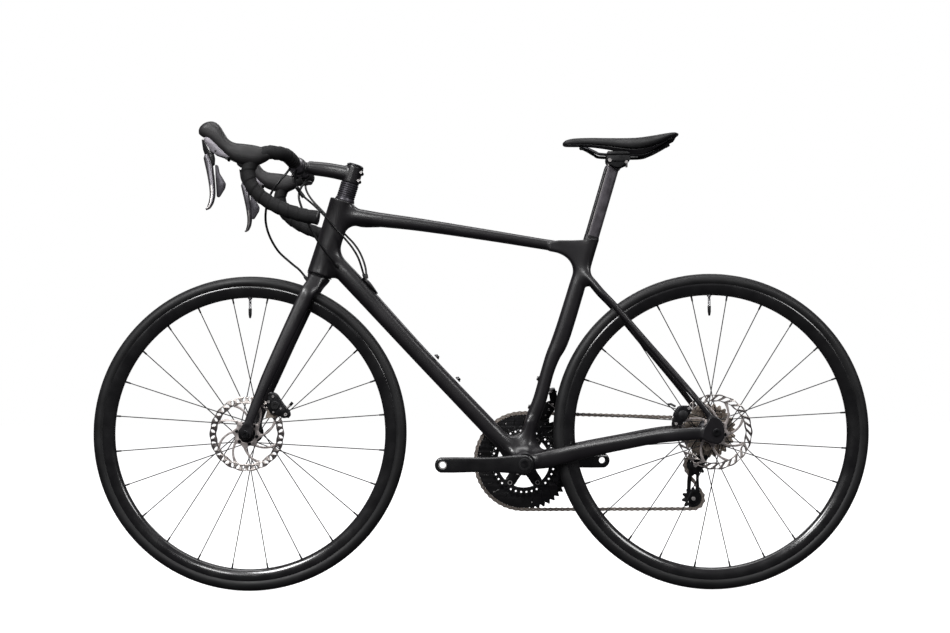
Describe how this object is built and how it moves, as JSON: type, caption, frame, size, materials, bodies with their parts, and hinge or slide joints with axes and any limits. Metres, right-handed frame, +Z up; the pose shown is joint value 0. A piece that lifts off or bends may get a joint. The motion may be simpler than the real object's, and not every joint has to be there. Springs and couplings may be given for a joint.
{
  "type": "road bicycle",
  "caption": "Road bicycle with drop handlebar, disc brakes, chain drive and derailleurs, laced wheels and a narrow saddle, without pedals.",
  "frame": {"origin": "on the ground, midway between the two wheel axles, in the centre plane", "axes": "-X towards the front wheel, +Y towards the drive side, which is the rider's right, +Z up"},
  "size_m": [1.667, 0.4564, 0.981],
  "materials": {
    "frame": "satin",
    "headset_bearing_lower": "satin",
    "headset_bearing_upper": "satin",
    "bottom_bracket_cup_left": "satin black anodised",
    "bottom_bracket_cup_right": "satin black anodised",
    "seatpost_clamp_cover": "matte",
    "derailleur_hanger": "satin black anodised",
    "rear_thru_axle": "satin black anodised",
    "rear_brake_caliper": "satin black anodised",
    "front_derailleur": "satin black anodised",
    "rear_derailleur": "satin black anodised",
    "derailleur_cage": "satin black anodised",
    "chain": "oiled",
    "rear_brake_hose": "satin",
    "shift_cable_left": "satin",
    "shift_cable_right": "satin",
    "fork": "satin",
    "headset_spacers": "satin black anodised",
    "stem": "satin black anodised",
    "stem_faceplate": "satin black anodised",
    "stem_top_cap": "satin black anodised",
    "handlebar": "satin black anodised",
    "bar_tape_left": "matte",
    "bar_tape_right": "matte",
    "shifter_left": "matte",
    "shifter_right": "matte",
    "front_brake_caliper": "satin black anodised",
    "front_thru_axle": "satin black anodised",
    "front_brake_hose": "satin",
    "front_hub": "satin black anodised",
    "front_rim": "gloss",
    "front_tyre": "matte",
    "front_valve": "satin",
    "front_rotor": "satin",
    "rear_hub": "satin black anodised",
    "rear_rim": "gloss",
    "rear_tyre": "matte",
    "rear_valve": "satin",
    "rear_rotor": "satin",
    "crank_arm_left": "satin black anodised",
    "crank_arm_right": "satin black anodised",
    "chainring_large": "satin black anodised",
    "chainring_small": "satin black anodised",
    "cassette": "satin",
    "guide_pulley": "matte",
    "tension_pulley": "matte",
    "lever_pivot_left": "satin black anodised",
    "lever_blade_left": "satin",
    "shift_paddle_left": "satin",
    "lever_pivot_right": "satin black anodised",
    "lever_blade_right": "satin",
    "shift_paddle_right": "satin",
    "seatpost": "satin",
    "saddle_clamp_lower": "satin black anodised",
    "saddle_clamp_upper": "satin black anodised",
    "clamp_bolt_front": "satin",
    "clamp_bolt_rear": "satin",
    "saddle_rails": "satin black anodised",
    "saddle_shell": "matte",
    "saddle_cover": "matte"
  },
  "bodies": {
    "frame": {"frame": "frame", "headset_bearing_lower": "headset_bearing_lower", "headset_bearing_upper": "headset_bearing_upper", "bottom_bracket_cup_left": "bottom_bracket_cup_left", "bottom_bracket_cup_right": "bottom_bracket_cup_right", "seatpost_clamp_cover": "seatpost_clamp_cover", "derailleur_hanger": "derailleur_hanger", "rear_thru_axle": "rear_thru_axle", "rear_brake_caliper": "rear_brake_caliper", "front_derailleur": "front_derailleur", "rear_derailleur": "rear_derailleur", "derailleur_cage": "derailleur_cage", "chain": "chain", "rear_brake_hose": "rear_brake_hose", "shift_cable_left": "shift_cable_left", "shift_cable_right": "shift_cable_right"},
    "steering": {"fork": "fork", "headset_spacers": "headset_spacers", "stem": "stem", "stem_faceplate": "stem_faceplate", "stem_top_cap": "stem_top_cap", "handlebar": "handlebar", "bar_tape_left": "bar_tape_left", "bar_tape_right": "bar_tape_right", "shifter_left": "shifter_left", "shifter_right": "shifter_right", "front_brake_caliper": "front_brake_caliper", "front_thru_axle": "front_thru_axle", "front_brake_hose": "front_brake_hose"},
    "front_wheel": {"front_hub": "front_hub", "front_rim": "front_rim", "front_tyre": "front_tyre", "front_valve": "front_valve", "front_rotor": "front_rotor"},
    "rear_wheel": {"rear_hub": "rear_hub", "rear_rim": "rear_rim", "rear_tyre": "rear_tyre", "rear_valve": "rear_valve", "rear_rotor": "rear_rotor"},
    "crank": {"crank_arm_left": "crank_arm_left", "crank_arm_right": "crank_arm_right", "chainring_large": "chainring_large", "chainring_small": "chainring_small"},
    "cassette": {"cassette": "cassette"},
    "guide_pulley": {"guide_pulley": "guide_pulley"},
    "tension_pulley": {"tension_pulley": "tension_pulley"},
    "brake_lever_left": {"lever_pivot_left": "lever_pivot_left"},
    "shift_lever_left": {"lever_blade_left": "lever_blade_left"},
    "shift_paddle_left": {"shift_paddle_left": "shift_paddle_left"},
    "brake_lever_right": {"lever_pivot_right": "lever_pivot_right"},
    "shift_lever_right": {"lever_blade_right": "lever_blade_right"},
    "shift_paddle_right": {"shift_paddle_right": "shift_paddle_right"},
    "seatpost": {"seatpost": "seatpost"},
    "saddle_clamp": {"saddle_clamp_lower": "saddle_clamp_lower", "saddle_clamp_upper": "saddle_clamp_upper", "clamp_bolt_front": "clamp_bolt_front", "clamp_bolt_rear": "clamp_bolt_rear"},
    "saddle": {"saddle_rails": "saddle_rails", "saddle_shell": "saddle_shell", "saddle_cover": "saddle_cover"}
  },
  "joints": [
    {"name": "steering_turn", "type": "hinge", "parent": "frame", "child": "steering", "pos_m": [-0.285, 0, 0.857], "axis": [0.2974, 0, 0.9548], "range_deg": [-60, 60], "deforming": ["rear_brake_hose", "shift_cable_left", "shift_cable_right"]},
    {"name": "front_wheel_spin", "type": "hinge", "parent": "steering", "child": "front_wheel", "pos_m": [-0.4955, 0, 0.338], "axis": [0, 1, 0], "continuous": true},
    {"name": "rear_wheel_spin", "type": "hinge", "parent": "frame", "child": "rear_wheel", "pos_m": [0.4955, 0, 0.338], "axis": [0, 1, 0], "continuous": true},
    {"name": "crank_spin", "type": "hinge", "parent": "frame", "child": "crank", "pos_m": [0.0944, 0, 0.272], "axis": [0, 1, 0], "continuous": true},
    {"name": "cassette_spin", "type": "hinge", "parent": "frame", "child": "cassette", "pos_m": [0.4955, 0, 0.338], "axis": [0, 1, 0], "continuous": true},
    {"name": "guide_pulley_spin", "type": "hinge", "parent": "frame", "child": "guide_pulley", "pos_m": [0.47, 0, 0.261], "axis": [0, 1, 0], "continuous": true},
    {"name": "tension_pulley_spin", "type": "hinge", "parent": "frame", "child": "tension_pulley", "pos_m": [0.465, 0, 0.188], "axis": [0, 1, 0], "continuous": true},
    {"name": "brake_lever_left_pull", "type": "hinge", "parent": "steering", "child": "brake_lever_left", "pos_m": [-0.548, -0.21, 0.934], "axis": [0, -1, 0], "range_deg": [0, 22], "stiffness_Nm_per_rad": 3, "springref_deg": -2.86},
    {"name": "shift_lever_left_swing", "type": "hinge", "parent": "brake_lever_left", "child": "shift_lever_left", "pos_m": [-0.543, -0.21, 0.899], "axis": [1, 0, 0], "range_deg": [0, 18], "stiffness_Nm_per_rad": 1.5, "springref_deg": -2.86},
    {"name": "shift_paddle_left_swing", "type": "hinge", "parent": "shift_lever_left", "child": "shift_paddle_left", "pos_m": [-0.527, -0.21, 0.884], "axis": [1, 0, 0], "range_deg": [0, 14], "stiffness_Nm_per_rad": 0.3, "springref_deg": -2.86},
    {"name": "brake_lever_right_pull", "type": "hinge", "parent": "steering", "child": "brake_lever_right", "pos_m": [-0.548, 0.21, 0.934], "axis": [0, -1, 0], "range_deg": [0, 22], "stiffness_Nm_per_rad": 3, "springref_deg": -2.86},
    {"name": "shift_lever_right_swing", "type": "hinge", "parent": "brake_lever_right", "child": "shift_lever_right", "pos_m": [-0.543, 0.21, 0.899], "axis": [-1, 0, 0], "range_deg": [0, 18], "stiffness_Nm_per_rad": 1.5, "springref_deg": -2.86},
    {"name": "shift_paddle_right_swing", "type": "hinge", "parent": "shift_lever_right", "child": "shift_paddle_right", "pos_m": [-0.527, 0.21, 0.884], "axis": [-1, 0, 0], "range_deg": [0, 14], "stiffness_Nm_per_rad": 0.3, "springref_deg": -2.86},
    {"name": "seat_height", "type": "slide", "parent": "frame", "child": "seatpost", "axis": [0.2873, 0, 0.9578], "range_m": [-0.05, 0.04]},
    {"name": "saddle_tilt", "type": "hinge", "parent": "seatpost", "child": "saddle_clamp", "pos_m": [0.3, 0, 0.909], "axis": [0, 1, 0], "range_deg": [-5, 5]},
    {"name": "saddle_slide", "type": "slide", "parent": "saddle_clamp", "child": "saddle", "axis": [0.9989, 0, -0.0469], "range_m": [-0.01, 0.007]}
  ],
  "couplings": [
    {"joint": "cassette_spin", "follows": "crank_spin", "ratio": 4.3333},
    {"joint": "guide_pulley_spin", "follows": "crank_spin", "ratio": -4.7273},
    {"joint": "tension_pulley_spin", "follows": "crank_spin", "ratio": 4.7273}
  ]
}
